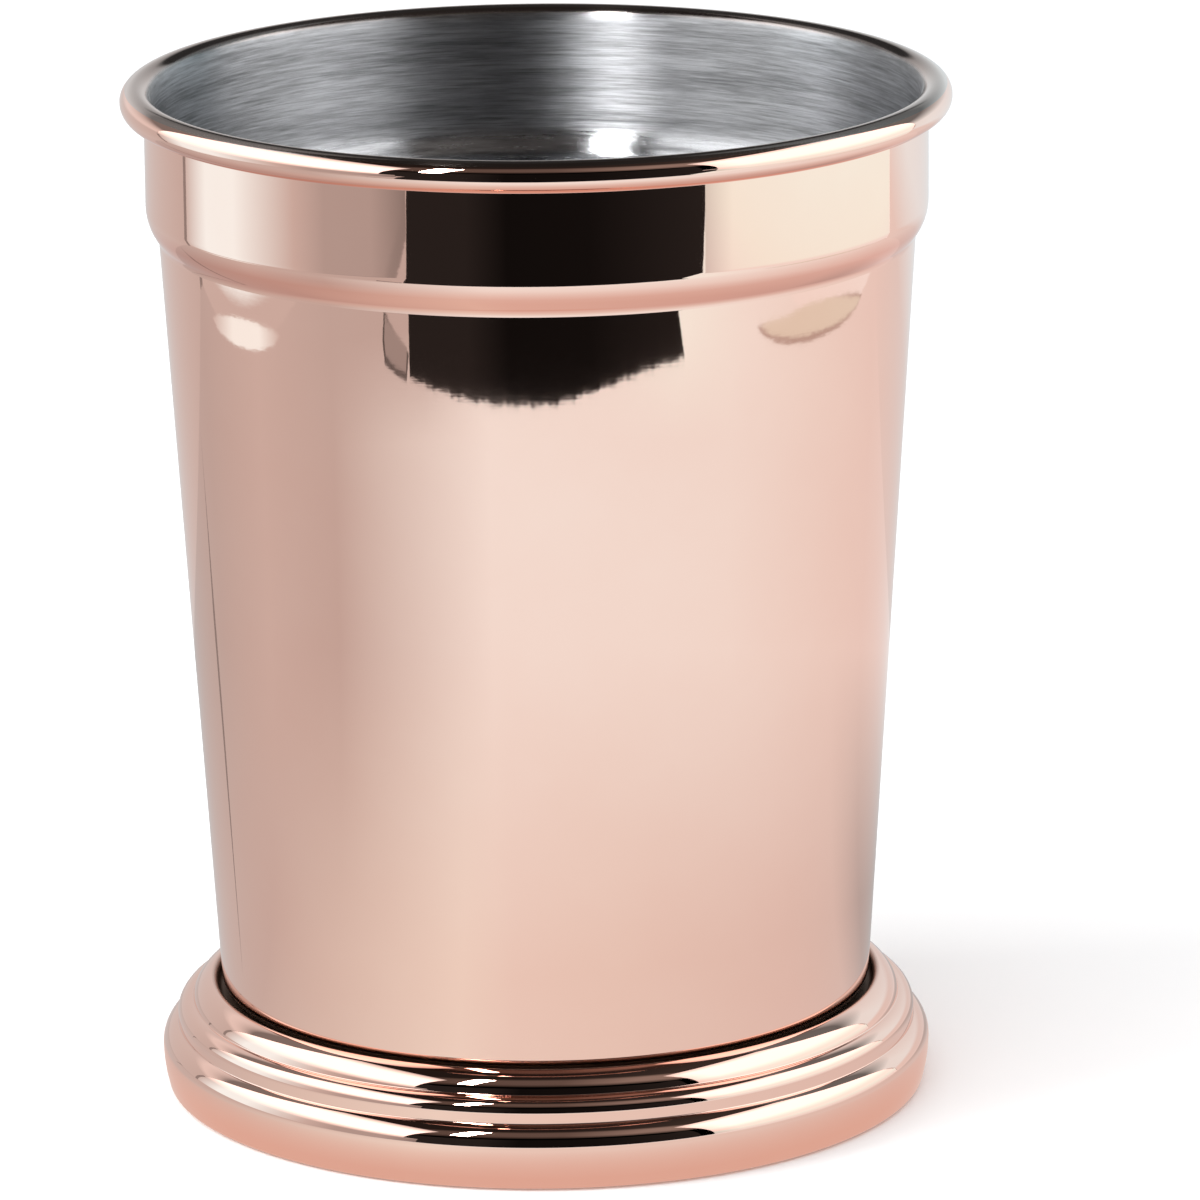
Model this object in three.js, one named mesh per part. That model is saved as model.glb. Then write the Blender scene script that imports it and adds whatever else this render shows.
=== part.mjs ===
// Copper-plated julep cup: a drawn sheet-metal beaker with a curled rim and a shoulder under its band,
// standing on a separate pressed foot ring whose underside is closed by a pressed base plate.
// Every piece is sheet metal, so each section is drawn as one face of the sheet, a chain of arcs joined
// by straight lines, and the second face is the same chain moved in by the sheet's thickness.
// Millimetres, +Z up, origin on the axis at the level of the surface that the cup stands on.
import * as THREE from "three";

// Cup
const OVERALL_HEIGHT = 104.8;
const BAND_DIAMETER = 79.2;
const CUP_SHEET = 0.8;
const RIM_BEAD_DIAMETER = 3.2;
const RIM_CURL_SLIT = 0.5;
const SHOULDER_DROP = 12.15;
const SHOULDER_RADIUS = 5.2;
const SHOULDER_STEP = 1.3;
const CREASE_RADIUS = 1.4;
const BODY_TAPER_DEGREES = 3.6;
const CUP_CORNER_RADIUS = 2;

// Foot ring, from the hem on the ground to the seat under the cup
const FOOT_SHEET = 0.5;
const HEM_WIDTH = 2;
const GROUND_EDGE_RADIUS = 0.6;
const FOOT_WALL_HEIGHT = 4.2;
const FOOT_WALL_BULGE_RADIUS = 14;
const ROLL_RADIUS = 2.45;
const ROLL_END_DEGREES = 69;
const MIDDLE_BEAD_FACE = 0.92;
const MIDDLE_BEAD_RADIUS = 1.57;
const TOP_BEAD_RADIUS = 2.85;
const TOP_BEAD_START_DEGREES = 12;
const TOP_BEAD_END_DEGREES = 70;
const LIP_RADIUS = 0.6;
const LIP_RISE = 1.25;
const LIP_FILLET_RADIUS = 0.5;
const SEAM_GAP = 0.7;
const SEAT_FLANGE_WIDTH = 7;

// Base plate
const PLATE_SHEET = 0.6;
const PLATE_CLEARANCE = 0.3;
const PLATE_RIM_HEIGHT = 2.4;
const PLATE_RIM_RADIUS = 1.2;
const PANEL_BORDER = 9;
const PANEL_RISE = 0.8;
const PANEL_STEP_RADIUS = 1;

// Fineness of the facets
const SIDES = 48;
const ARC_SAG = 0.04;

const UP = Math.PI / 2;
const DOWN = -Math.PI / 2;
const OUT = 0;
const IN = Math.PI;
const MIRROR_COPPER = { color: 0xfad1c2, metalness: 1, roughness: 0.06 };
const SATIN_COPPER = { color: 0xe8b8a2, metalness: 1, roughness: 0.3 };

// A bend of the sheet: the arc's centre, its radius on the face and the two directions it runs between.
// The face is the outside of a bulge and the inside of a hollow.
function bulge(r, z, radius, from, to) {
  return { r, z, radius, from, to, grows: -1 };
}

function hollow(r, z, radius, from, to) {
  return { r, z, radius, from, to, grows: 1 };
}

// The end of a sheet: a point of its face and the direction that the face looks in there.
function sheetEnd(r, z, facing) {
  return bulge(r, z, 0, facing, facing);
}

// Points of the sheet's face, or of the level that lies inset behind it.
function sheetSide(bends, inset) {
  const points = [];
  for (const { r, z, radius, from, to, grows } of bends) {
    const grown = radius + grows * inset;
    const stepAngle = 2 * Math.acos(1 - Math.min(1, ARC_SAG / Math.abs(grown)));
    const steps = grown === 0 ? 0 : Math.ceil(Math.abs(to - from) / stepAngle);
    for (let i = 0; i <= steps; i += 1) {
      const angle = steps === 0 ? from : THREE.MathUtils.lerp(from, to, i / steps);
      points.push(new THREE.Vector2(r + grown * Math.cos(angle), z + grown * Math.sin(angle)));
    }
  }
  return points;
}

// A sheet revolved about the axis, its bends listed upwards; one clear of the axis closes into a ring.
function revolvedSheet(bends, thickness) {
  const section = [...sheetSide(bends, 0), ...sheetSide(bends, thickness).reverse()];
  if (section[0].x > 0) {
    section.push(section[0].clone());
  }
  return new THREE.LatheGeometry(section, SIDES).rotateX(Math.PI / 2);
}

function subPart(name, geometry, finish) {
  const mesh = new THREE.Mesh(geometry, new THREE.MeshStandardMaterial(finish));
  mesh.name = name;
  return mesh;
}

// Heights of the foot's steps, from the ground up
const rollEnd = THREE.MathUtils.degToRad(ROLL_END_DEGREES);
const topBeadStart = THREE.MathUtils.degToRad(TOP_BEAD_START_DEGREES);
const topBeadEnd = THREE.MathUtils.degToRad(TOP_BEAD_END_DEGREES);
const ledgeHeight = FOOT_WALL_HEIGHT + ROLL_RADIUS * Math.sin(rollEnd);
const middleBeadHeight = ledgeHeight + MIDDLE_BEAD_FACE;
const grooveHeight = middleBeadHeight + MIDDLE_BEAD_RADIUS;
const topBeadHeight = grooveHeight - TOP_BEAD_RADIUS * Math.sin(topBeadStart);
const lipHeight = topBeadHeight + (TOP_BEAD_RADIUS - LIP_RADIUS) * Math.sin(topBeadEnd);
const seatHeight = lipHeight + LIP_RADIUS - LIP_RISE;

// Cup: the shoulder turns in from the band and the crease turns back into the tapered wall
const taper = THREE.MathUtils.degToRad(BODY_TAPER_DEGREES);
const bandRadius = BAND_DIAMETER / 2;
const shoulderHeight = OVERALL_HEIGHT - SHOULDER_DROP;
const shoulderCentre = bandRadius - SHOULDER_RADIUS;
const creaseReach = SHOULDER_RADIUS + CREASE_RADIUS;
const creaseCentre = bandRadius - SHOULDER_STEP + CREASE_RADIUS * Math.cos(taper);
const shoulderTurn = Math.acos((creaseCentre - shoulderCentre) / creaseReach);
const creaseHeight = shoulderHeight - creaseReach * Math.sin(shoulderTurn);
const wallTopHeight = creaseHeight + CREASE_RADIUS * Math.sin(taper);
const cornerHeight = seatHeight + CUP_CORNER_RADIUS;
const wallRun = (wallTopHeight - cornerHeight) * Math.tan(taper);
const cornerCentre = bandRadius - SHOULDER_STEP - wallRun - CUP_CORNER_RADIUS / Math.cos(taper);

// The rim curls outward round an open core and stops short of the band, which leaves a slit
const beadRadius = RIM_BEAD_DIAMETER / 2;
const curlCore = beadRadius - CUP_SHEET;
const curlCentre = bandRadius + curlCore;
const curlHeight = OVERALL_HEIGHT - beadRadius;
const curlEnd = -Math.acos((RIM_CURL_SLIT - curlCore) / beadRadius);

const cupBends = [
  sheetEnd(0, seatHeight, DOWN),
  bulge(cornerCentre, cornerHeight, CUP_CORNER_RADIUS, DOWN, -taper),
  hollow(creaseCentre, creaseHeight, CREASE_RADIUS, IN - taper, IN - shoulderTurn),
  bulge(shoulderCentre, shoulderHeight, SHOULDER_RADIUS, -shoulderTurn, OUT),
  hollow(curlCentre, curlHeight, curlCore, IN, UP),
  hollow(curlCentre, curlHeight, curlCore, UP, curlEnd),
];

// Foot ring: its lip stands round the cup's corner with an open seam, and three steps widen to the ground
const lipReach = CUP_CORNER_RADIUS + SEAM_GAP + LIP_RADIUS;
const lipCentre = cornerCentre + Math.sqrt(lipReach ** 2 - (cornerHeight - lipHeight) ** 2);
const topBeadCentre = lipCentre - (TOP_BEAD_RADIUS - LIP_RADIUS) * Math.cos(topBeadEnd);
const grooveRadius = topBeadCentre + TOP_BEAD_RADIUS * Math.cos(topBeadStart);
const ledgeRadius = grooveRadius + MIDDLE_BEAD_RADIUS;
const rollCentre = ledgeRadius - ROLL_RADIUS * Math.cos(rollEnd);
const wallCentre = rollCentre + ROLL_RADIUS - FOOT_WALL_BULGE_RADIUS;
const wallReach = FOOT_WALL_BULGE_RADIUS - GROUND_EDGE_RADIUS;
const wallStart = -Math.asin((FOOT_WALL_HEIGHT - GROUND_EDGE_RADIUS) / wallReach);
const groundRadius = wallCentre + wallReach * Math.cos(wallStart);
const filletCentre = lipCentre - LIP_RADIUS - LIP_FILLET_RADIUS;

const footBends = [
  sheetEnd(groundRadius - HEM_WIDTH, 0, DOWN),
  bulge(groundRadius, GROUND_EDGE_RADIUS, GROUND_EDGE_RADIUS, DOWN, wallStart),
  bulge(wallCentre, FOOT_WALL_HEIGHT, FOOT_WALL_BULGE_RADIUS, wallStart, OUT),
  bulge(rollCentre, FOOT_WALL_HEIGHT, ROLL_RADIUS, OUT, rollEnd),
  hollow(ledgeRadius, ledgeHeight, 0, IN + rollEnd, IN),
  bulge(grooveRadius, middleBeadHeight, MIDDLE_BEAD_RADIUS, OUT, UP),
  hollow(grooveRadius, grooveHeight, 0, IN + UP, IN + topBeadStart),
  bulge(topBeadCentre, topBeadHeight, TOP_BEAD_RADIUS, topBeadStart, topBeadEnd),
  bulge(lipCentre, lipHeight, LIP_RADIUS, topBeadEnd, IN),
  hollow(filletCentre, seatHeight + LIP_FILLET_RADIUS, LIP_FILLET_RADIUS, OUT, DOWN),
  sheetEnd(cornerCentre - SEAT_FLANGE_WIDTH, seatHeight, UP),
];

// Base plate: it lies on the hem inside the foot, with a raised panel and a rim turned up along the wall
const plateHeight = FOOT_SHEET;
const footBore = wallCentre + Math.sqrt(
  (FOOT_WALL_BULGE_RADIUS - FOOT_SHEET) ** 2 - (FOOT_WALL_HEIGHT - plateHeight) ** 2,
);
const plateRadius = footBore - PLATE_CLEARANCE;
const panelHeight = plateHeight + PANEL_RISE;
const panelTurn = Math.acos(1 - PANEL_RISE / (2 * PANEL_STEP_RADIUS));
const panelStepEnd = plateRadius - PANEL_BORDER;
const panelStepStart = panelStepEnd - 2 * PANEL_STEP_RADIUS * Math.sin(panelTurn);

const plateBends = [
  sheetEnd(0, panelHeight, DOWN),
  hollow(panelStepStart, panelHeight - PANEL_STEP_RADIUS, PANEL_STEP_RADIUS, UP, UP - panelTurn),
  bulge(panelStepEnd, plateHeight + PANEL_STEP_RADIUS, PANEL_STEP_RADIUS, DOWN - panelTurn, DOWN),
  bulge(plateRadius - PLATE_RIM_RADIUS, plateHeight + PLATE_RIM_RADIUS, PLATE_RIM_RADIUS, DOWN, OUT),
  sheetEnd(plateRadius, plateHeight + PLATE_RIM_HEIGHT, OUT),
];

const julepCup = new THREE.Group();
julepCup.add(
  subPart("cup_body", revolvedSheet(cupBends, CUP_SHEET), MIRROR_COPPER),
  subPart("foot_ring", revolvedSheet(footBends, FOOT_SHEET), MIRROR_COPPER),
  subPart("base_plate", revolvedSheet(plateBends, PLATE_SHEET), SATIN_COPPER),
);

export default julepCup;
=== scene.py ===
import math

import bpy
from mathutils import Matrix, Vector


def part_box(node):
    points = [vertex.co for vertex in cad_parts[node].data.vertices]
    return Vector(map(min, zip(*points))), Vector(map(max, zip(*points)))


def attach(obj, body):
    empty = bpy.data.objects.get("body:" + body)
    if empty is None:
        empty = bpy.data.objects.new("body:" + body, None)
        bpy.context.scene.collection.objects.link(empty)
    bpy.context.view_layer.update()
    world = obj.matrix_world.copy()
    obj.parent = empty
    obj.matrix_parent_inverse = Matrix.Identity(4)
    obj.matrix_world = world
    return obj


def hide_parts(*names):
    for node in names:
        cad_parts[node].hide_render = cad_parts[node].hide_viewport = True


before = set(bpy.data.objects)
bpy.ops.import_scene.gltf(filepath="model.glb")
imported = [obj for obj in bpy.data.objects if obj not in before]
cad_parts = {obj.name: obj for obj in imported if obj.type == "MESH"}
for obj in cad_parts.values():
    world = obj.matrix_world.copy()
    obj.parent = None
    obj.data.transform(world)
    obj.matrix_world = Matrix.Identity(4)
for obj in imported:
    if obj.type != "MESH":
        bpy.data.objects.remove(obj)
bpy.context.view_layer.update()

# Sizes in metres. Those that the frame gives are read from its boxes.
MM = 0.001
CUP_SHEET = 0.8 * MM
RIM_BEAD_RADIUS = 1.6 * MM
RIM_CURL_SLIT = 0.5 * MM + CUP_SHEET / 2  # clear of the sheet's rounded edge
SHOULDER_DROP = 12.15 * MM
SHOULDER_RADIUS = 5.2 * MM
SHOULDER_STEP = 1.3 * MM
CREASE_RADIUS = 1.4 * MM
BODY_TAPER = math.radians(3.6)
CUP_CORNER_RADIUS = 2 * MM
PLATING_EDGE = 42  # degrees round the rim's bead, from level outward

FOOT_SHEET = 0.5 * MM
HEM_WIDTH = 2 * MM
GROUND_EDGE_RADIUS = 0.6 * MM
FOOT_WALL_HEIGHT = 4.2 * MM
FOOT_WALL_BULGE_RADIUS = 14 * MM
ROLL_RADIUS = 2.45 * MM
ROLL_END = math.radians(69)
MIDDLE_BEAD_FACE = 0.92 * MM
MIDDLE_BEAD_RADIUS = 1.57 * MM
TOP_BEAD_RADIUS = 2.85 * MM
TOP_BEAD_START = math.radians(12)
TOP_BEAD_END = math.radians(70)
LIP_RADIUS = 0.6 * MM
LIP_FILLET_RADIUS = 0.5 * MM
STEP_FILLET_RADIUS = 0.15 * MM
SEAT_FLANGE_WIDTH = 7 * MM

PLATE_SHEET = 0.6 * MM
PLATE_RIM_RADIUS = 1.2 * MM
PANEL_BORDER = 9 * MM
PANEL_RISE = 0.8 * MM
PANEL_STEP_RADIUS = 1 * MM

SIDES = 288
ARC_STEP = 6
STRAIGHT_STEP = 5 * MM
ON_AXIS = 0.0001 * MM
UP, DOWN, OUT, IN = 90, -90, 0, 180

# Colours of the metals
COPPER_PALE, COPPER_WARM = (0.955, 0.63, 0.53, 1), (0.94, 0.60, 0.50, 1)
# Painted shade: a deeper copper that darkens the crease under the shoulder
COPPER_PAINTED_SHADE_IN_CREASE = (0.83, 0.42, 0.33, 1)
# Painted shade: a deeper copper that darkens the band just under the rim's bead
COPPER_PAINTED_SHADE_UNDER_BEAD = (0.80, 0.40, 0.31, 1)
# Dark colour in the seam between cup and foot: partly dirt, partly painted shade
SEAM_DIRT_AND_SHADE = (0.17, 0.11, 0.08, 1)
STEEL_DARK, STEEL_LIGHT = (0.34, 0.344, 0.356, 1), (0.78, 0.79, 0.815, 1)
STEEL_POLISHED = (0.70, 0.60, 0.56, 1)
SATIN_LIGHT, SATIN_DEEP = (0.90, 0.58, 0.47, 1), (0.83, 0.50, 0.39, 1)

# Depths of the marks in the metals
WAVE_DEPTH, RIPPLE_DEPTH, POLISH_DEPTH = 0.000012, 0.0000012, 0.0000006
BRUSHING_DEPTH, SPINNING_DEPTH = 0.00006, 0.00002


# Pressed sheet, as a chain of bends in a half section of radius and height
def bulge(r, z, radius, start, end):
    """A bend round a centre behind the sheet's first face."""
    return r, z, radius, start, end, 1


def hollow(r, z, radius, start, end):
    """A bend round a centre in front of the sheet's first face."""
    return r, z, radius, start, end, -1


def sheet_end(r, z, facing):
    return bulge(r, z, 0, facing, facing)


def arc_points(r, z, radius, start, end, facing):
    """Points of an arc with their normals; a facing of -1 looks at the arc's centre."""
    steps = max(1, math.ceil(abs(end - start) / ARC_STEP)) if start != end else 0
    points = []
    for i in range(steps + 1):
        turn = math.radians(start + (end - start) * (i / steps if steps else 0))
        c, s = math.cos(turn), math.sin(turn)
        points.append((r + radius * c, z + radius * s, facing * c, facing * s))
    return points


def sheet_face(bends, inset):
    """One face of the sheet, at a depth of inset behind its first face."""
    points = []
    for r, z, radius, start, end, side in bends:
        points += arc_points(r, z, radius - side * inset, start, end, side)
    return points


def with_straights(points):
    """The same outline with more points along its long straight runs."""
    full = [points[0]]
    for a, b in zip(points, points[1:]):
        steps = max(1, math.ceil(math.hypot(b[0] - a[0], b[1] - a[1]) / STRAIGHT_STEP))
        full += [tuple(p + (q - p) * i / steps for p, q in zip(a, b)) for i in range(1, steps + 1)]
    return full


def rounded_edge(point, thickness, turn):
    """The half round edge of a sheet, from its first face to its second if turn is 1, and back if -1."""
    r, z, nr, nz = point
    half = thickness / 2
    facing = math.degrees(math.atan2(nz, nr)) + (0 if turn > 0 else 180)
    return arc_points(r - nr * half, z - nz * half, half, facing, facing + 180, 1)[1:-1]


def section(bends, thickness):
    """The closed half section of a sheet: its first face, its end, its second face and its start."""
    first = with_straights(sheet_face(bends, 0))
    second = [(r, z, -nr, -nz) for r, z, nr, nz in with_straights(sheet_face(bends, thickness))]
    outline = first + rounded_edge(first[-1], thickness, 1) + second[::-1]
    if first[0][0] > 0:
        outline += rounded_edge(first[0], thickness, -1)
    return outline


def revolved(name, outline, materials, material_of=None):
    """A closed body of revolution with exact normals, ridden on the root body."""
    verts, normals, rings = [], [], []
    for r, z, nr, nz in outline:
        count = SIDES if r > ON_AXIS else 1
        rings.append(range(len(verts), len(verts) + count))
        for k in range(count):
            c, s = math.cos(math.tau * k / SIDES), math.sin(math.tau * k / SIDES)
            verts.append((r * c, r * s, z))
            normals.append((nr * c, nr * s, nz) if count > 1 else (0, 0, math.copysign(1, nz)))
    pairs = list(zip(range(len(rings) - 1), range(1, len(rings))))
    if len(rings[0]) > 1:
        pairs.append((len(rings) - 1, 0))
    faces, slots = [], []
    for a, b in pairs:
        low, high = rings[a], rings[b]
        if len(low) == len(high) == 1:
            continue
        for k in range(SIDES):
            n = (k + 1) % SIDES
            if len(low) == 1:
                faces.append((low[0], high[n], high[k]))
            elif len(high) == 1:
                faces.append((low[k], low[n], high[0]))
            else:
                faces.append((low[k], low[n], high[n], high[k]))
            slots.append(material_of(a) if material_of else 0)
    mesh = bpy.data.meshes.new(name)
    mesh.from_pydata(verts, [], faces)
    for m in materials:
        mesh.materials.append(m)
    mesh.polygons.foreach_set("material_index", slots)
    mesh.polygons.foreach_set("use_smooth", [True] * len(faces))
    mesh.normals_split_custom_set_from_vertices([Vector(n).normalized() for n in normals])
    piece = bpy.data.objects.new(name, mesh)
    bpy.context.scene.collection.objects.link(piece)
    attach(piece, "root")
    return piece


def between(first, first_radius, second, second_radius, fillet):
    """Centre of a fillet that rests in the outer groove between two bulges."""
    (ar, az), (br, bz) = first, second
    p, q = first_radius + fillet, second_radius + fillet
    span = math.hypot(br - ar, bz - az)
    along = (p * p - q * q + span * span) / (2 * span)
    rise = math.sqrt(p * p - along * along)
    er, ez = (br - ar) / span, (bz - az) / span
    return max((ar + along * er + k * rise * ez, az + along * ez - k * rise * er) for k in (1, -1))


def heading(start, end):
    """Direction from one point of the section to another, in degrees from 0 to 360."""
    return math.degrees(math.atan2(end[1] - start[1], end[0] - start[0])) % 360


# Node graphs
def half_light(level):
    """Half of a light level or colour, as a shader colour."""
    r, g, b = level if isinstance(level, tuple) else (level, level, level)
    return r / 2, g / 2, b / 2, 1


class Graph:
    """A shader tree that is filled by adding nodes and naming what feeds them."""

    def __init__(self, owner):
        owner.use_nodes = True
        self.tree = owner.node_tree
        self.tree.nodes.clear()

    def add(self, kind, feeds=(), **settings):
        """The first output of a new node; feeds gives its sockets a value or what is linked to them."""
        node = self.tree.nodes.new("ShaderNode" + kind)
        for name, value in settings.items():
            setattr(node, name, value)
        for socket, value in dict(feeds).items():
            if isinstance(value, bpy.types.NodeSocket):
                self.tree.links.new(value, node.inputs[socket])
            else:
                node.inputs[socket].default_value = value
        return node.outputs[0] if node.outputs else None

    def math(self, operation, a, b=0.0):
        return self.add("Math", {0: a, 1: b}, operation=operation)

    def spread(self, value, low, high, to_low=0.0, to_high=1.0):
        """The part of value between low and high, moved to another range and held there."""
        return self.add("MapRange", {0: value, 1: low, 2: high, 3: to_low, 4: to_high})

    def noise(self, where, scale, detail=2.0, roughness=0.5):
        return self.add("TexNoise", {
            "Vector": where, "Scale": scale, "Detail": detail, "Roughness": roughness,
        })

    def mix(self, factor, a, b):
        return self.add("MixRGB", {0: factor, 1: a, 2: b})

    def ramp(self, value, stops):
        """Grey or coloured light between stops, (value, level) pairs, as half of the level."""
        low, high = stops[0][0], stops[-1][0]
        node = self.tree.nodes.new("ShaderNodeValToRGB")
        self.tree.links.new(self.spread(value, low, high), node.inputs[0])
        elements = node.color_ramp.elements
        while len(elements) < len(stops):
            elements.new(0.5)
        for element, (place, level) in zip(elements, stops):
            element.position = (place - low) / (high - low)
            element.color = half_light(level)
        return node.outputs[0]

    def place(self):
        """Position on the object in metres, as x, y, z and distance from the axis."""
        at = self.tree.nodes.new("ShaderNodeTexCoord").outputs["Object"]
        split = self.tree.nodes.new("ShaderNodeSeparateXYZ")
        self.tree.links.new(at, split.inputs[0])
        x, y, z = split.outputs
        radius = self.math("SQRT", self.math("ADD", self.math("MULTIPLY", x, x), self.math("MULTIPLY", y, y)))
        return at, x, y, z, radius

    def lathe_lines(self, x, y, across, length, width):
        """Coordinates for marks that run round the axis, of about this length and width in metres."""
        return self.add("CombineXYZ", {
            0: self.math("DIVIDE", x, length),
            1: self.math("DIVIDE", y, length),
            2: self.math("DIVIDE", across, width),
        })

    def surface(self, shader):
        self.add("OutputMaterial", {0: shader})


def mirror_copper():
    """Polished plating, with painted shade in the crease and under the bead, and dull in the seam, which is
    darkened by dirt and painted shade.
    """
    material = bpy.data.materials.new("mirror_copper")
    g = Graph(material)
    at, x, y, z, radius = g.place()
    across = g.math("SUBTRACT", z, radius)
    tone = g.noise(at, 38, 4, 0.6)
    colour = g.mix(g.spread(tone, 0.3, 0.7), COPPER_PALE, COPPER_WARM)
    # Painted shade: the crease under the shoulder is darkened towards a deeper copper
    crease_painted_shade = g.math(
        "MULTIPLY",
        g.spread(z, shoulder_height - 0.6 * MM, shoulder_height - 1.9 * MM),
        g.spread(z, wall_top + 0.15 * MM, wall_top + 0.75 * MM),
    )
    colour = g.mix(crease_painted_shade, colour, COPPER_PAINTED_SHADE_IN_CREASE)
    # Painted shade: the band just under the rim's bead is darkened towards a deeper copper
    under_bead_painted_shade = g.math(
        "MULTIPLY",
        g.spread(z, curl_height - 0.4 * MM, curl_height - 1.0 * MM),
        g.spread(radius, band_radius + 0.1 * MM, band_radius + 0.5 * MM),
    )
    colour = g.mix(under_bead_painted_shade, colour, COPPER_PAINTED_SHADE_UNDER_BEAD)
    # The seam between cup and foot and the lip beside it are darkened, partly as dirt and partly as painted
    # shade; the mask also dulls the finish there
    seam_dirt_and_shade = g.math(
        "MULTIPLY",
        g.spread(z, lip_top + 0.3 * MM, lip_top - 0.2 * MM),
        g.spread(z, seat_height - 0.4 * MM, seat_height),
    )
    seam_dirt_and_shade = g.math("MULTIPLY", seam_dirt_and_shade, g.spread(radius, lip_centre + 0.1 * MM, lip_centre - 0.25 * MM))
    colour = g.mix(seam_dirt_and_shade, colour, SEAM_DIRT_AND_SHADE)
    polish = g.noise(g.lathe_lines(x, y, across, 0.012, 0.00035), 1, 5, 0.65)
    haze = g.noise(at, 55, 3, 0.6)
    shine = g.math("ADD", g.spread(haze, 0.35, 0.75, 0.018, 0.034), g.spread(polish, 0.62, 0.8, 0, 0.02))
    shine = g.math("MAXIMUM", shine, g.math("MULTIPLY", seam_dirt_and_shade, 0.55))
    wave = g.add("Bump", {"Strength": 1.0, "Distance": WAVE_DEPTH, "Height": g.noise(at, 45, 1)})
    ripple = g.add("Bump", {
        "Strength": 1.0, "Distance": RIPPLE_DEPTH, "Height": g.noise(at, 520, 2), "Normal": wave,
    })
    lines = g.add("Bump", {
        "Strength": 0.35, "Distance": POLISH_DEPTH, "Height": polish, "Normal": ripple,
    })
    g.surface(g.add("BsdfPrincipled", {
        "Base Color": colour, "Metallic": 1.0, "Roughness": shine, "Normal": lines,
    }))
    return material


def brushed_steel():
    """Steel brushed round the axis, smoother on the shoulder's ledge and polished on the rim."""
    material = bpy.data.materials.new("brushed_steel")
    g = Graph(material)
    _, x, y, z, radius = g.place()
    across = g.math("SUBTRACT", z, radius)
    fine = g.noise(g.lathe_lines(x, y, across, 0.006, 0.00026), 1, 5, 0.65)
    broad = g.noise(g.lathe_lines(x, y, across, 0.02, 0.0018), 1, 3, 0.55)
    streak = g.math("ADD", g.math("MULTIPLY", fine, 0.65), g.math("MULTIPLY", broad, 0.35))
    brushed = g.spread(z, cup_high.z - 0.8 * MM, cup_high.z - 0.4 * MM, 1, 0)
    ledge_zone = g.spread(z, shoulder_height - 0.6 * MM, shoulder_height - 1.6 * MM)
    colour = g.mix(g.spread(streak, 0.38, 0.62), STEEL_DARK, STEEL_LIGHT)
    colour = g.mix(brushed, STEEL_POLISHED, colour)
    smoother = g.math("MULTIPLY", ledge_zone, 0.14)
    grain = g.math("SUBTRACT", g.spread(streak, 0.35, 0.65, 0.34, 0.44), smoother)
    rough = g.math("ADD", g.math("MULTIPLY", brushed, grain), g.spread(brushed, 0, 1, 0.10, 0))
    depth = g.math("MULTIPLY", brushed, g.spread(ledge_zone, 0, 1, 1, 0.4))
    bump = g.add("Bump", {"Strength": depth, "Distance": BRUSHING_DEPTH, "Height": streak})
    tangent = g.add("Tangent", direction_type="RADIAL", axis="Z")
    g.surface(g.add("BsdfPrincipled", {
        "Base Color": colour, "Metallic": 1.0, "Roughness": rough, "Anisotropic": 1.0,
        "Anisotropic Rotation": 0.25, "Normal": bump, "Tangent": tangent,
    }))
    return material


def satin_copper():
    """Duller plating with the marks of spinning, for the underside."""
    material = bpy.data.materials.new("satin_copper")
    g = Graph(material)
    at, x, y, _, radius = g.place()
    spun = g.noise(g.lathe_lines(x, y, radius, 0.02, 0.0006), 1, 5, 0.65)
    tone = g.noise(at, 60, 4, 0.6)
    colour = g.mix(g.spread(tone, 0.3, 0.7), SATIN_LIGHT, SATIN_DEEP)
    rough = g.math("ADD", g.spread(spun, 0.35, 0.65, 0.22, 0.34), g.spread(tone, 0.4, 0.7, 0, 0.08))
    bump = g.add("Bump", {"Strength": 0.4, "Distance": SPINNING_DEPTH, "Height": spun})
    tangent = g.add("Tangent", direction_type="RADIAL", axis="Z")
    g.surface(g.add("BsdfPrincipled", {
        "Base Color": colour, "Metallic": 1.0, "Roughness": rough, "Anisotropic": 0.4,
        "Anisotropic Rotation": 0.25, "Normal": bump, "Tangent": tangent,
    }))
    return material


# Where the frame puts the pieces
cup_low, cup_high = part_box("cup_body")
foot_low, foot_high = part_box("foot_ring")
plate_low, plate_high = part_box("base_plate")
seat_height = cup_low.z
lip_top = foot_high.z

# Sizes of the cup that follow from those above
curl_core = RIM_BEAD_RADIUS - CUP_SHEET
curl_centre = cup_high.x - RIM_BEAD_RADIUS
curl_height = cup_high.z - RIM_BEAD_RADIUS
band_radius = curl_centre - curl_core
shoulder_height = cup_high.z - SHOULDER_DROP
shoulder_centre = band_radius - SHOULDER_RADIUS
crease_reach = SHOULDER_RADIUS + CREASE_RADIUS
crease_centre = band_radius - SHOULDER_STEP + CREASE_RADIUS * math.cos(BODY_TAPER)
shoulder_turn = math.acos((crease_centre - shoulder_centre) / crease_reach)
crease_height = shoulder_height - crease_reach * math.sin(shoulder_turn)
wall_top = crease_height + CREASE_RADIUS * math.sin(BODY_TAPER)
corner_height = seat_height + CUP_CORNER_RADIUS
wall_run = (wall_top - corner_height) * math.tan(BODY_TAPER)
corner_centre = band_radius - SHOULDER_STEP - wall_run - CUP_CORNER_RADIUS / math.cos(BODY_TAPER)
curl_end = -math.degrees(math.acos((RIM_CURL_SLIT - curl_core) / RIM_BEAD_RADIUS))
taper = math.degrees(BODY_TAPER)
turn = math.degrees(shoulder_turn)

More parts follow.
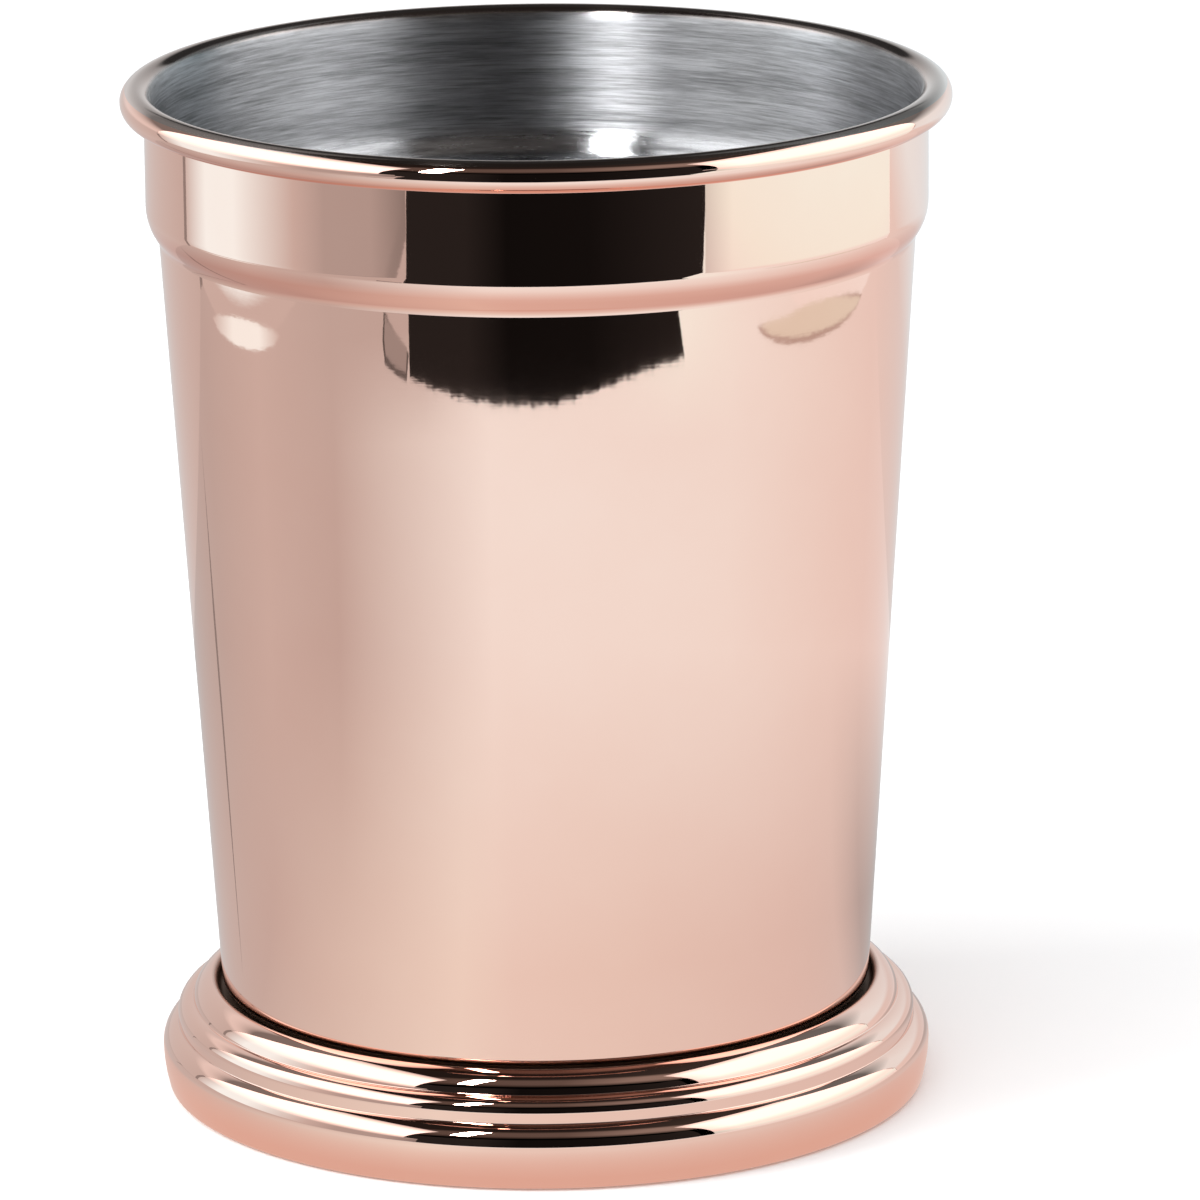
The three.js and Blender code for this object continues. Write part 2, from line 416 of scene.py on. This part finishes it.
# Sizes of the foot, from its widest step up
roll_centre = foot_high.x - ROLL_RADIUS
ledge_radius = roll_centre + ROLL_RADIUS * math.cos(ROLL_END)
groove_radius = ledge_radius - MIDDLE_BEAD_RADIUS
top_bead_centre = groove_radius - TOP_BEAD_RADIUS * math.cos(TOP_BEAD_START)
lip_centre = top_bead_centre + (TOP_BEAD_RADIUS - LIP_RADIUS) * math.cos(TOP_BEAD_END)
ledge_height = FOOT_WALL_HEIGHT + ROLL_RADIUS * math.sin(ROLL_END)
middle_bead_height = ledge_height + MIDDLE_BEAD_FACE
groove_height = middle_bead_height + MIDDLE_BEAD_RADIUS
top_bead_height = groove_height - TOP_BEAD_RADIUS * math.sin(TOP_BEAD_START)
lip_height = top_bead_height + (TOP_BEAD_RADIUS - LIP_RADIUS) * math.sin(TOP_BEAD_END)
wall_centre = foot_high.x - FOOT_WALL_BULGE_RADIUS
wall_reach = FOOT_WALL_BULGE_RADIUS - GROUND_EDGE_RADIUS
wall_start = -math.asin((FOOT_WALL_HEIGHT - GROUND_EDGE_RADIUS) / wall_reach)
ground_radius = wall_centre + wall_reach * math.cos(wall_start)
fillet_centre = lip_centre - LIP_RADIUS - LIP_FILLET_RADIUS

middle_bead = (groove_radius, middle_bead_height)
top_bead = (top_bead_centre, top_bead_height)
roll = (roll_centre, FOOT_WALL_HEIGHT)
groove = between(middle_bead, MIDDLE_BEAD_RADIUS, top_bead, TOP_BEAD_RADIUS, STEP_FILLET_RADIUS)
ledge_run = ledge_radius + STEP_FILLET_RADIUS - roll_centre
ledge_rise = math.sqrt((ROLL_RADIUS + STEP_FILLET_RADIUS) ** 2 - ledge_run ** 2)
ledge = (ledge_radius + STEP_FILLET_RADIUS, FOOT_WALL_HEIGHT + ledge_rise)
start = math.degrees(wall_start)
bead_end = math.degrees(TOP_BEAD_END)

copper = mirror_copper()
steel = brushed_steel()
satin = satin_copper()

# The cup: floor, tapered wall, crease, shoulder, band and curled rim in one sheet
cup_bends = [
    sheet_end(0, seat_height, DOWN),
    bulge(corner_centre, corner_height, CUP_CORNER_RADIUS, DOWN, -taper),
    hollow(crease_centre, crease_height, CREASE_RADIUS, IN - taper, IN - turn),
    bulge(shoulder_centre, shoulder_height, SHOULDER_RADIUS, -turn, OUT),
    hollow(curl_centre, curl_height, curl_core, IN, UP),
    hollow(curl_centre, curl_height, curl_core, UP, PLATING_EDGE),
    hollow(curl_centre, curl_height, curl_core, PLATING_EDGE, curl_end),
]
cup_section = section(cup_bends, CUP_SHEET)
first_face = len(with_straights(sheet_face(cup_bends, 0)))


def is_steel(i):
    """Whether the strip after point i of the cup's section is bare steel, inside the plating's edge."""
    r, z, _, _ = cup_section[i]
    past_crest = math.degrees(math.atan2(z - curl_height, r - curl_centre)) < PLATING_EDGE + 0.5
    return i >= first_face and not (r > curl_centre and past_crest)


cup = revolved("cup", cup_section, [copper, steel], lambda i: int(is_steel(i)))
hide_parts("cup_body")

# The foot: hem, tall rounded wall, two beads over a ledge, lip and inner flange
foot_bends = [
    sheet_end(ground_radius - HEM_WIDTH, foot_low.z, DOWN),
    bulge(ground_radius, GROUND_EDGE_RADIUS, GROUND_EDGE_RADIUS, DOWN, start),
    bulge(wall_centre, FOOT_WALL_HEIGHT, FOOT_WALL_BULGE_RADIUS, start, OUT),
    bulge(*roll, ROLL_RADIUS, OUT, heading(roll, ledge)),
    hollow(*ledge, STEP_FILLET_RADIUS, heading(ledge, roll), IN),
    bulge(*middle_bead, MIDDLE_BEAD_RADIUS, OUT, heading(middle_bead, groove)),
    hollow(*groove, STEP_FILLET_RADIUS, heading(groove, middle_bead), heading(groove, top_bead)),
    bulge(*top_bead, TOP_BEAD_RADIUS, heading(top_bead, groove), bead_end),
    bulge(lip_centre, lip_height, LIP_RADIUS, bead_end, IN),
    hollow(fillet_centre, seat_height + LIP_FILLET_RADIUS, LIP_FILLET_RADIUS, OUT, DOWN),
    sheet_end(corner_centre - SEAT_FLANGE_WIDTH, seat_height, UP),
]
foot = revolved("foot", section(foot_bends, FOOT_SHEET), [copper])
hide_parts("foot_ring")

# The base plate: a raised panel, a flat border and a turned-up rim
plate_height = plate_low.z
plate_radius = plate_high.x
panel_height = plate_height + PANEL_RISE
panel_turn = math.acos(1 - PANEL_RISE / (2 * PANEL_STEP_RADIUS))
step_end = plate_radius - PANEL_BORDER
step_start = step_end - 2 * PANEL_STEP_RADIUS * math.sin(panel_turn)
lean = math.degrees(panel_turn)

plate_bends = [
    sheet_end(0, panel_height, DOWN),
    hollow(step_start, panel_height - PANEL_STEP_RADIUS, PANEL_STEP_RADIUS, UP, UP - lean),
    bulge(step_end, plate_height + PANEL_STEP_RADIUS, PANEL_STEP_RADIUS, DOWN - lean, DOWN),
    bulge(plate_radius - PLATE_RIM_RADIUS, plate_height + PLATE_RIM_RADIUS, PLATE_RIM_RADIUS, DOWN, OUT),
    sheet_end(plate_radius, plate_high.z - PLATE_SHEET / 2, OUT),
]
plate = revolved("base_plate_disc", section(plate_bends, PLATE_SHEET), [satin])
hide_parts("base_plate")


# The studio: a pale floor, a tent of white cards that only the metal mirrors, a dark room and three lamps
SIDE_WHITE, TABLE_WHITE, SLIP_WHITE = (1.0, 1.36, 1.48), (0.95, 1.13, 1.18), (1.0, 1.3, 1.38)


def flat_sheet(name, corners, material):
    mesh = bpy.data.meshes.new(name)
    mesh.from_pydata(corners, [], [tuple(range(len(corners)))])
    mesh.materials.append(material)
    piece = bpy.data.objects.new(name, mesh)
    bpy.context.scene.collection.objects.link(piece)
    return piece


def mirrored_only(piece):
    """Shown in reflections, and neither to the camera nor as a light or a shadow on the floor."""
    piece.visible_camera = False
    piece.visible_diffuse = False
    piece.visible_shadow = False
    piece.visible_transmission = False
    return piece


def glow(name, paint):
    """A surface that gives light, painted by a function of its place."""
    material = bpy.data.materials.new(name)
    g = Graph(material)
    _, x, y, z, radius = g.place()
    g.surface(g.add("Emission", {"Color": paint(g, x, y, z, radius), "Strength": 2.0}))
    return material


def mirrored_card(name, corners, material):
    return mirrored_only(flat_sheet(name, corners, material))


def pale(name):
    """A matt white surface with a faint mottle."""
    material = bpy.data.materials.new(name)
    g = Graph(material)
    at, *_ = g.place()
    g.surface(g.add("BsdfDiffuse", {"Color": g.spread(g.noise(at, 9, 3), 0.3, 0.7, 0.87, 0.89)}))
    return material


def compass(g, x, y):
    """Angle round the axis in radians, 0 at the front and positive to the right, for the paints below."""
    return g.math("ARCTAN2", x, g.math("MULTIPLY", y, -1))


def product(g, a, b):
    return g.add("MixRGB", {0: 1.0, 1: a, 2: b}, blend_type="MULTIPLY")


def table_paint(g, x, y, z, radius):
    """Shaded to the left, cool white in front, with painted shade nearer the cup and painted coppery bounce
    light and shade close to the foot.
    """
    angle = compass(g, x, y)
    far = g.ramp(angle, [
        (-2.1, 0.55), (-1.6, 0.63), (-1.1, 0.58),
        (-0.25, TABLE_WHITE), (1.0, (0.93, 1.08, 1.12)), (2.1, 0.85),
    ])
    near = g.ramp(angle, [
        (-2.1, 0.6), (-1.6, 0.6), (-0.4, (0.89, 0.97, 0.95)), (-0.15, (0.86, 0.89, 0.88)),
        (0.3, (0.84, 0.87, 0.86)), (1.3, 0.77), (1.75, 0.72), (2.1, 0.5),
    ])
    edge = g.ramp(angle, [
        (-2.1, 0.55), (-1.6, 0.63), (-1.1, 0.56), (-0.58, 0.56), (-0.3, TABLE_WHITE),
        (0.3, TABLE_WHITE), (0.7, (0.98, 1.27, 1.3)), (1.1, (0.95, 1.12, 1.16)), (2.1, 0.85),
    ])
    # Painted shade: the table is darker nearer the cup
    inner = g.mix(g.spread(radius, 0.08, 0.17), near, far)
    light = g.mix(g.spread(radius, 0.24, 0.28), inner, edge)
    # Painted coppery bounce light and shade on the table close to the foot
    return g.mix(g.spread(radius, 0.0515, 0.0405), light, half_light((0.77, 0.60, 0.54)))


def left_paint(g, x, y, z, radius):
    """White higher up; lower down a white middle between shaded ends, and shaded along the table."""
    foot_shade = g.ramp(y, [(-0.38, 0.28), (-0.16, 0.47), (-0.08, 0.63), (0.165, 0.63)])
    middle = g.ramp(y, [
        (-0.38, 0.28), (-0.27, 0.46), (-0.16, 0.47), (-0.10, 0.62),
        (0.02, SIDE_WHITE), (0.09, SIDE_WHITE), (0.165, 0.62),
    ])
    low = g.mix(g.spread(z, 0.0045, 0.0075), foot_shade, middle)
    light = g.mix(g.spread(z, 0.09, 0.17), low, half_light(1.9))
    return g.mix(g.spread(z, 0.40, 0.56), light, half_light(0.6))


def right_paint(g, x, y, z, radius):
    """White, dimmer along the table, at the top and at the front."""
    light = g.ramp(z, [
        (0, (0.95, 1.05, 1.08)), (0.012, (0.95, 1.05, 1.08)),
        (0.03, (0.98, 1.24, 1.22)), (0.045, (0.98, 1.3, 1.31)),
        (0.08, 1.3), (0.16, 1.8), (0.36, 1.85), (0.47, 1.0),
    ])
    return product(g, light, g.ramp(y, [(-0.268, 1.5), (-0.2, 2), (0.165, 2)]))


def back_paint(g, x, y, z, radius):
    """Shaded low down, white on the left higher up, cool on the right, dark at the top and in the middle."""
    low = g.ramp(x, [(-0.29, 0.6), (0, 0.7), (0.29, 0.85)])
    bright = g.math("MULTIPLY", g.spread(z, 0.1, 0.17), g.spread(x, -0.05, -0.12))
    cool = g.math("MULTIPLY", g.spread(z, 0.03, 0.05), g.spread(x, 0, 0.2))
    middle = g.math("MULTIPLY", g.spread(z, 0.15, 0.17), g.spread(g.math("ABSOLUTE", x), 0.11, 0.07))
    dark = g.math("MAXIMUM", middle, g.spread(z, 0.12, 0.19, 0, 0.85))
    light = g.mix(cool, g.mix(bright, low, half_light(1.3)), half_light((0.87, 1.08, 1.15)))
    return g.mix(dark, light, half_light(0.03))


def ceiling_paint(g, x, y, z, radius):
    """Dim, with some light to the right and in front of the tent."""
    light = g.ramp(x, [
        (-0.3, (0.11, 0.09, 0.08)), (0.05, (0.13, 0.11, 0.10)), (0.3, (0.28, 0.25, 0.23)),
    ])
    depth = g.ramp(y, [(-0.75, 0), (-0.5, 2), (-0.3, 2), (-0.2, 0.3), (0.3, 0.3)])
    return product(g, light, depth)


def dark_paint(g, x, y, z, radius):
    """Nearly black, darkest in the middle."""
    return g.ramp(compass(g, x, y), [
        (-0.75, 0.021), (-0.35, 0.021), (-0.15, 0.006), (0.25, 0.007), (0.8, 0.02),
    ])


def dark_line_paint(g, x, y, z, radius):
    return g.ramp(x, [(-0.3, 0.3), (0, 0.25)])


def white_slip_paint(g, x, y, z, radius):
    return g.ramp(y, [(-0.042, 0.65), (0, SLIP_WHITE), (0.06, SLIP_WHITE), (0.116, 0.65)])


def grey_glow(name, level):
    """A card of one light level."""
    return glow(name, lambda g, x, y, z, radius: g.ramp(z, [(0, level), (1, level)]))


def laid(points, lift):
    """Corners of a level card from points in millimetres."""
    return [(a * MM, b * MM, lift * MM) for a, b in points]


def slip(name, ends, bow, width, lift, material):
    """A bowed slip of paper that lies over the table between two ends, given in millimetres."""
    (ax, ay), (bx, by) = ends
    near, far = [], []
    for i in range(SLIP_STEPS + 1):
        share = i / SLIP_STEPS
        belly = math.sin(math.pi * share)
        px = ax + (bx - ax) * share + math.copysign(bow * belly, ax)
        py = ay + (by - ay) * share
        half = math.copysign(width / 2 * belly ** SLIP_ROUNDING, ax)
        near.append(((px - half) * MM, py * MM, lift * MM))
        far.append(((px + half) * MM, py * MM, lift * MM))
    return mirrored_card(name, near + far[::-1], material)


def corner_strip(name, side, depth, width, low, high, level):
    """A shaded strip across one of the tent's back corners, the left one if side is -1."""
    outer = (side * (TENT_HALF - TENT_GAP), TENT_BACK - depth)
    inner = (side * (TENT_HALF - width), TENT_BACK - TENT_GAP)
    return mirrored_card(name, [
        (*outer, low), (*inner, low), (*inner, high), (*outer, high),
    ], grey_glow(name + "_shade", level))


# Places of the floor and the cards
FLOOR_REACH = 4
FLOOR_DROP = 0.0002
TENT_HALF = 0.29
TENT_BACK = 0.167
TENT_GAP = 0.0005
LEFT_FRONT, LEFT_FRONT_HIGH = -0.385, -0.33
LEFT_STEP, LEFT_TOP = 0.11, 0.56
RIGHT_FRONT = -0.268
RIGHT_FOOT, RIGHT_TOP = 0.002, 0.47
BACK_TOP = 0.42
CEILING_HALF, CEILING_FRONT, CEILING_BACK, CEILING_HEIGHT = 0.7, -0.9, 0.3, 0.62
DARK_REACH, DARK_NEAR, DARK_HEIGHT = 1.5, -0.15, 1.2
TABLE_HALF = 0.6
TABLE_EDGE = -0.2503
TABLE_EDGE_HALF = 0.18
TABLE_EDGE_LEFT, TABLE_EDGE_RIGHT = (0.0533, 2), (0.0505, 2.6)  # how far and how steeply the edge bows
EDGE_LEFT, EDGE_RIGHT = -0.16, 0.182
EDGE_POINTS = 80
EDGE_RAGGED = 0.4 * MM
SLIP_STEPS = 12
SLIP_ROUNDING = 0.6

flat_sheet("floor", [
    (-FLOOR_REACH, -FLOOR_REACH, -FLOOR_DROP), (FLOOR_REACH, -FLOOR_REACH, -FLOOR_DROP),
    (FLOOR_REACH, FLOOR_REACH, -FLOOR_DROP), (-FLOOR_REACH, FLOOR_REACH, -FLOOR_DROP),
], pale("pale_floor"))

edge = []
for i in range(EDGE_POINTS):
    share = i / (EDGE_POINTS - 1)
    at_x = EDGE_LEFT + (EDGE_RIGHT - EDGE_LEFT) * share
    rise, power = TABLE_EDGE_LEFT if at_x < 0 else TABLE_EDGE_RIGHT
    ragged = EDGE_RAGGED * (math.sin(1.1 * i) + math.sin(2.7 * i + 1))
    edge.append((at_x, TABLE_EDGE + rise * abs(at_x / TABLE_EDGE_HALF) ** power + ragged, 0))
table_left = [(-TABLE_HALF, TENT_BACK, 0), (-TABLE_HALF, -0.8, 0), (-0.563, -0.8, 0), (-0.30, -0.40, 0)]
table_right = [(0.187, -0.222, 0), (0.37, -0.335, 0), (TABLE_HALF, -0.5, 0), (TABLE_HALF, TENT_BACK, 0)]
mirrored_card("table", table_left + edge + table_right, glow("table_cloth", table_paint))
# A thin dark line laid on the table, seen only in reflections
dark_line = [(-57, 15), (-85, 43), (-114, 75), (-147, 109), (-186, 140), (-210, 162)]
dark_line_back = [(a - 1, b + 1) for a, b in reversed(dark_line)]
mirrored_card("table_dark_line", laid(dark_line + dark_line_back, 0.3), glow("dark_line_glow", dark_line_paint))

gap = [(-201, -203), (-196, -195), (-190, -191), (-174, -199), (-164, -205), (-168, -214)]
rim_of_gap = [(-204, -204), (-198, -193), (-190, -188.5), (-173, -197), (-162, -203.5), (-165, -214)]
mirrored_card("table_gap", laid(gap, 0.6), grey_glow("gap_shade", 0.36))
mirrored_card("table_gap_edge", laid(rim_of_gap, 0.4), grey_glow("gap_edge_shade", 0.12))
slip_tan = grey_glow("slip_tan", (0.80, 0.88, 0.80))
slip_edge = grey_glow("slip_edge", (0.5, 0.45, 0.42))
slip_white = glow("slip_white", white_slip_paint)
slip("right_slip", [(248, -104), (276, 106)], bow=17.2, width=13, lift=6, material=slip_tan)
slip("right_slip_edge", [(245, -110), (277, 111)], bow=17.2, width=15.5, lift=5.8, material=slip_edge)
slip("left_slip", [(-267, -42), (-267, 116)], bow=7.5, width=13, lift=6, material=slip_white)

dark = glow("dark_room", dark_paint)
dark_level = -FLOOR_DROP / 2
mirrored_card("dark_floor", [
    (-DARK_REACH, -DARK_REACH, dark_level), (DARK_REACH, -DARK_REACH, dark_level),
    (DARK_REACH, DARK_NEAR, dark_level), (-DARK_REACH, DARK_NEAR, dark_level),
], dark)
mirrored_card("dark_front", [
    (-DARK_REACH, -DARK_REACH, 0), (DARK_REACH, -DARK_REACH, 0),
    (DARK_REACH, -DARK_REACH, DARK_HEIGHT), (-DARK_REACH, -DARK_REACH, DARK_HEIGHT),
], dark)

side_back = TENT_BACK - TENT_GAP
back_half = TENT_HALF - TENT_GAP
mirrored_card("left_panel", [
    (-TENT_HALF, LEFT_FRONT, 0), (-TENT_HALF, side_back, 0), (-TENT_HALF, side_back, LEFT_TOP),
    (-TENT_HALF, LEFT_FRONT_HIGH, LEFT_TOP), (-TENT_HALF, LEFT_FRONT_HIGH, LEFT_STEP),
    (-TENT_HALF, LEFT_FRONT, LEFT_STEP),
], glow("left_light", left_paint))
mirrored_card("right_panel", [
    (TENT_HALF, RIGHT_FRONT, RIGHT_FOOT), (TENT_HALF, side_back, RIGHT_FOOT),
    (TENT_HALF, side_back, RIGHT_TOP), (TENT_HALF, RIGHT_FRONT, RIGHT_TOP),
], glow("right_light", right_paint))
mirrored_card("back_panel", [
    (-back_half, TENT_BACK, 0), (back_half, TENT_BACK, 0),
    (back_half, TENT_BACK, BACK_TOP), (-back_half, TENT_BACK, BACK_TOP),
], glow("back_light", back_paint))
corner_strip("left_corner", -1, depth=8 * MM, width=6 * MM, low=0, high=0.09, level=0.3)
corner_strip("right_corner", 1, depth=5 * MM, width=3 * MM, low=0.05, high=0.1, level=0.62)
mirrored_card("ceiling", [
    (-CEILING_HALF, CEILING_FRONT, CEILING_HEIGHT), (CEILING_HALF, CEILING_FRONT, CEILING_HEIGHT),
    (CEILING_HALF, CEILING_BACK, CEILING_HEIGHT), (-CEILING_HALF, CEILING_BACK, CEILING_HEIGHT),
], glow("ceiling_light", ceiling_paint))

LAMP_AIM = 0.06
SKY_COLOUR, SKY_LEVEL = (0.985, 1, 1.012, 1), 1.09


def soft_lamp(name, azimuth, elevation, distance, size, power):
    """A rectangular lamp aimed at the cup, by compass angle from the front and height angle."""
    light = bpy.data.lights.new(name, "AREA")
    light.shape = "RECTANGLE"
    light.size, light.size_y = size
    light.energy = power
    lamp = bpy.data.objects.new(name, light)
    bpy.context.scene.collection.objects.link(lamp)
    a, e = math.radians(azimuth), math.radians(elevation)
    aim = Vector((0, 0, LAMP_AIM))
    reach = Vector((math.sin(a) * math.cos(e), -math.cos(a) * math.cos(e), math.sin(e))) * distance
    lamp.location = aim + reach
    lamp.rotation_euler = reach.to_track_quat("Z", "Y").to_euler()
    lamp.visible_camera = False
    return lamp


key = soft_lamp("key_lamp", azimuth=-28.5, elevation=44, distance=0.3, size=(0.026, 0.13), power=0.42)
key.visible_diffuse = False
fill = soft_lamp("fill_lamp", azimuth=-70, elevation=32, distance=0.9, size=(0.5, 0.4), power=5.5)
fill.visible_glossy = False
front_fill = soft_lamp("front_fill", azimuth=-25, elevation=35, distance=0.9, size=(0.7, 0.5), power=3.0)
front_fill.visible_glossy = False

world = bpy.data.worlds.new("studio")
bpy.context.scene.world = world
world_graph = Graph(world)
sky = world_graph.add("Background", {0: SKY_COLOUR, 1: SKY_LEVEL})
world_graph.add("OutputWorld", {0: sky})
world.cycles_visibility.glossy = False
bpy.context.scene.view_settings.view_transform = "Standard"

# The camera, in the place that the photograph's outlines give
AIM_HEIGHT = 0.05218
CAMERA_DISTANCE = 0.9006
CAMERA_ELEVATION = math.radians(14.557)
LENS = 264.03
PITCH, YAW, ROLL = -0.0019, 0.00664, math.radians(-0.62)
camera = bpy.data.objects.new("camera", bpy.data.cameras.new("camera"))
bpy.context.scene.collection.objects.link(camera)
camera.data.sensor_width = 36
camera.data.lens = LENS
camera.data.clip_start = 0.01
place = Vector((0, -math.cos(CAMERA_ELEVATION), math.sin(CAMERA_ELEVATION))) * CAMERA_DISTANCE
camera.matrix_world = (
    Matrix.Translation(place + Vector((0, 0, AIM_HEIGHT)))
    @ Matrix.Rotation(math.pi / 2 - CAMERA_ELEVATION + PITCH, 4, "X")
    @ Matrix.Rotation(-YAW, 4, "Y")
    @ Matrix.Rotation(ROLL, 4, "Z")
)
bpy.context.scene.camera = camera
